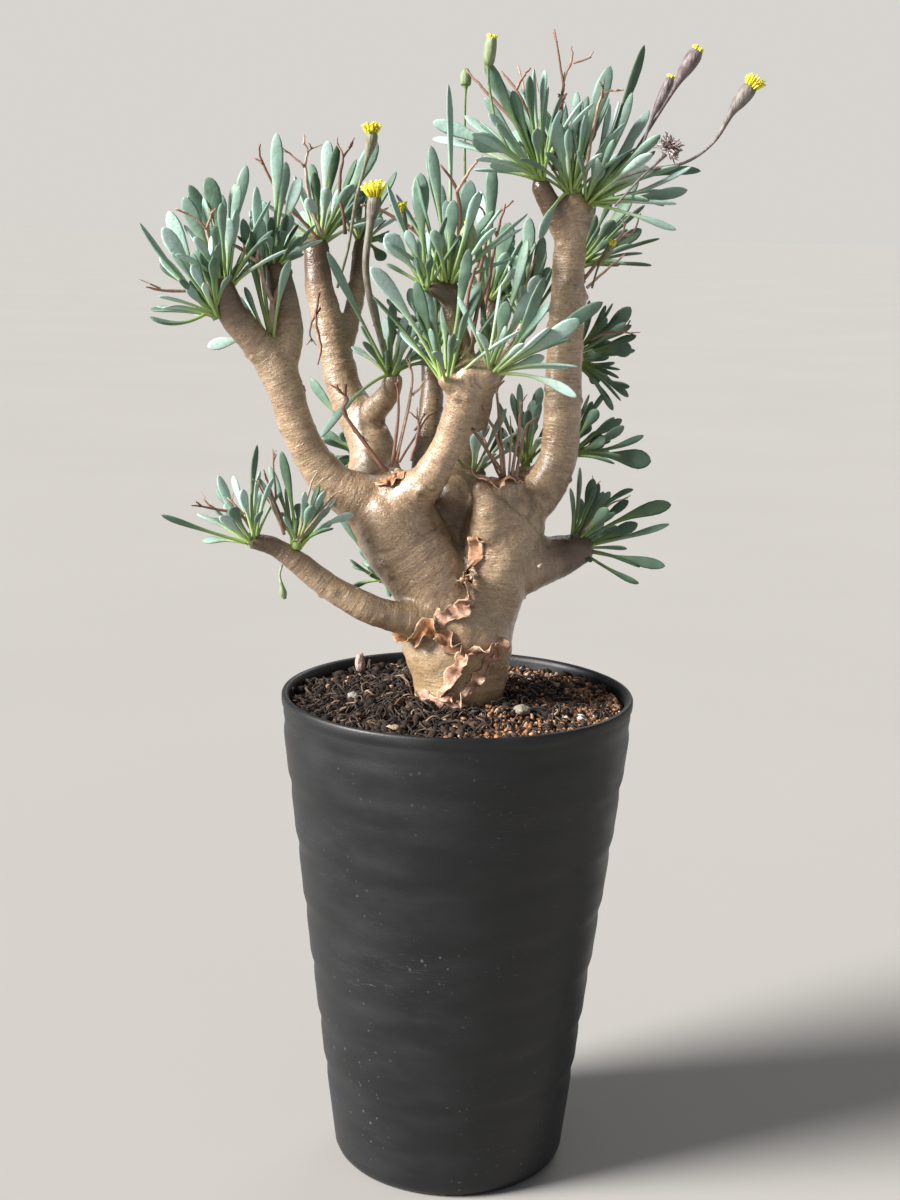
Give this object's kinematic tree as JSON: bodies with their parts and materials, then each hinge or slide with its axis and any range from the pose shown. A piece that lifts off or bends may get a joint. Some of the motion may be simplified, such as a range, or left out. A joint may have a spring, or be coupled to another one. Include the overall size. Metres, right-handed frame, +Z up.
{
  "type": "potted succulent",
  "caption": "Shrubby caudex succulent with rosettes of narrow glaucous leaves, old flower stalks and small yellow flowers, in a tall black nursery pot.",
  "frame": {"origin": "middle of the pot's flat base", "axes": "+Z up the pot and the plant, -Y towards the side the plant is seen from"},
  "size_m": [0.1555, 0.0952, 0.3031],
  "materials": {
    "black_plastic": "matte moulded nursery pot",
    "potting_mix": "loose gritty compost",
    "silvery_bark": "silky silvery-bronze bark",
    "peeling_bark": "dry papery bark",
    "dead_stalk": "dry brown flower stalks",
    "glaucous_leaf": "matte leaf with a pale waxy bloom",
    "yellow_flower": "matte buds with yellow florets",
    "stone": "dry pebbles"
  },
  "bodies": {
    "root": {"bark_loop": "peeling_bark", "bark_ring": "peeling_bark", "bark_upper": "peeling_bark", "bud_hanging": "yellow_flower", "bud_olive_tall": "yellow_flower", "bud_right_short": "yellow_flower", "bud_right_tall": "yellow_flower", "bud_round": "yellow_flower", "caudex": "silvery_bark", "dead_stalks_crown": "dead_stalk", "dead_stalks_fork": "dead_stalk", "dead_stalks_left_outer": "dead_stalk", "dead_stalks_low_tip": "dead_stalk", "dead_stalks_rear": "dead_stalk", "dead_stalks_right": "dead_stalk", "dead_stalks_saddle": "dead_stalk", "flower_front": "yellow_flower", "flower_rear": "yellow_flower", "flower_right": "yellow_flower", "pot": "black_plastic", "potting_mix": "potting_mix", "rosette_crown_left": "glaucous_leaf", "rosette_crown_right": "glaucous_leaf", "rosette_crown_top": "glaucous_leaf", "rosette_front_left": "glaucous_leaf", "rosette_front_right": "glaucous_leaf", "rosette_left_fork": "glaucous_leaf", "rosette_left_inner": "glaucous_leaf", "rosette_left_outer": "glaucous_leaf", "rosette_left_top": "glaucous_leaf", "rosette_low_branch": "glaucous_leaf", "rosette_low_tip": "glaucous_leaf", "rosette_middle": "glaucous_leaf", "rosette_olive_node": "glaucous_leaf", "rosette_olive_top": "glaucous_leaf", "rosette_rear_left": "glaucous_leaf", "rosette_rear_low": "glaucous_leaf", "rosette_rear_middle": "glaucous_leaf", "rosette_rear_pale": "glaucous_leaf", "rosette_rear_right": "glaucous_leaf", "rosette_rear_spur": "glaucous_leaf", "rosette_rear_top": "glaucous_leaf", "rosette_rear_twig": "glaucous_leaf", "rosette_right_lower": "glaucous_leaf", "rosette_right_middle": "glaucous_leaf", "rosette_right_stub": "glaucous_leaf", "rosette_right_upper": "glaucous_leaf", "seed_head": "yellow_flower", "stone_grey_round": "stone", "stone_olive": "stone", "stone_pink_upright": "stone", "stone_tan_flat": "stone", "stone_white": "stone"}
  },
  "joints": []
}
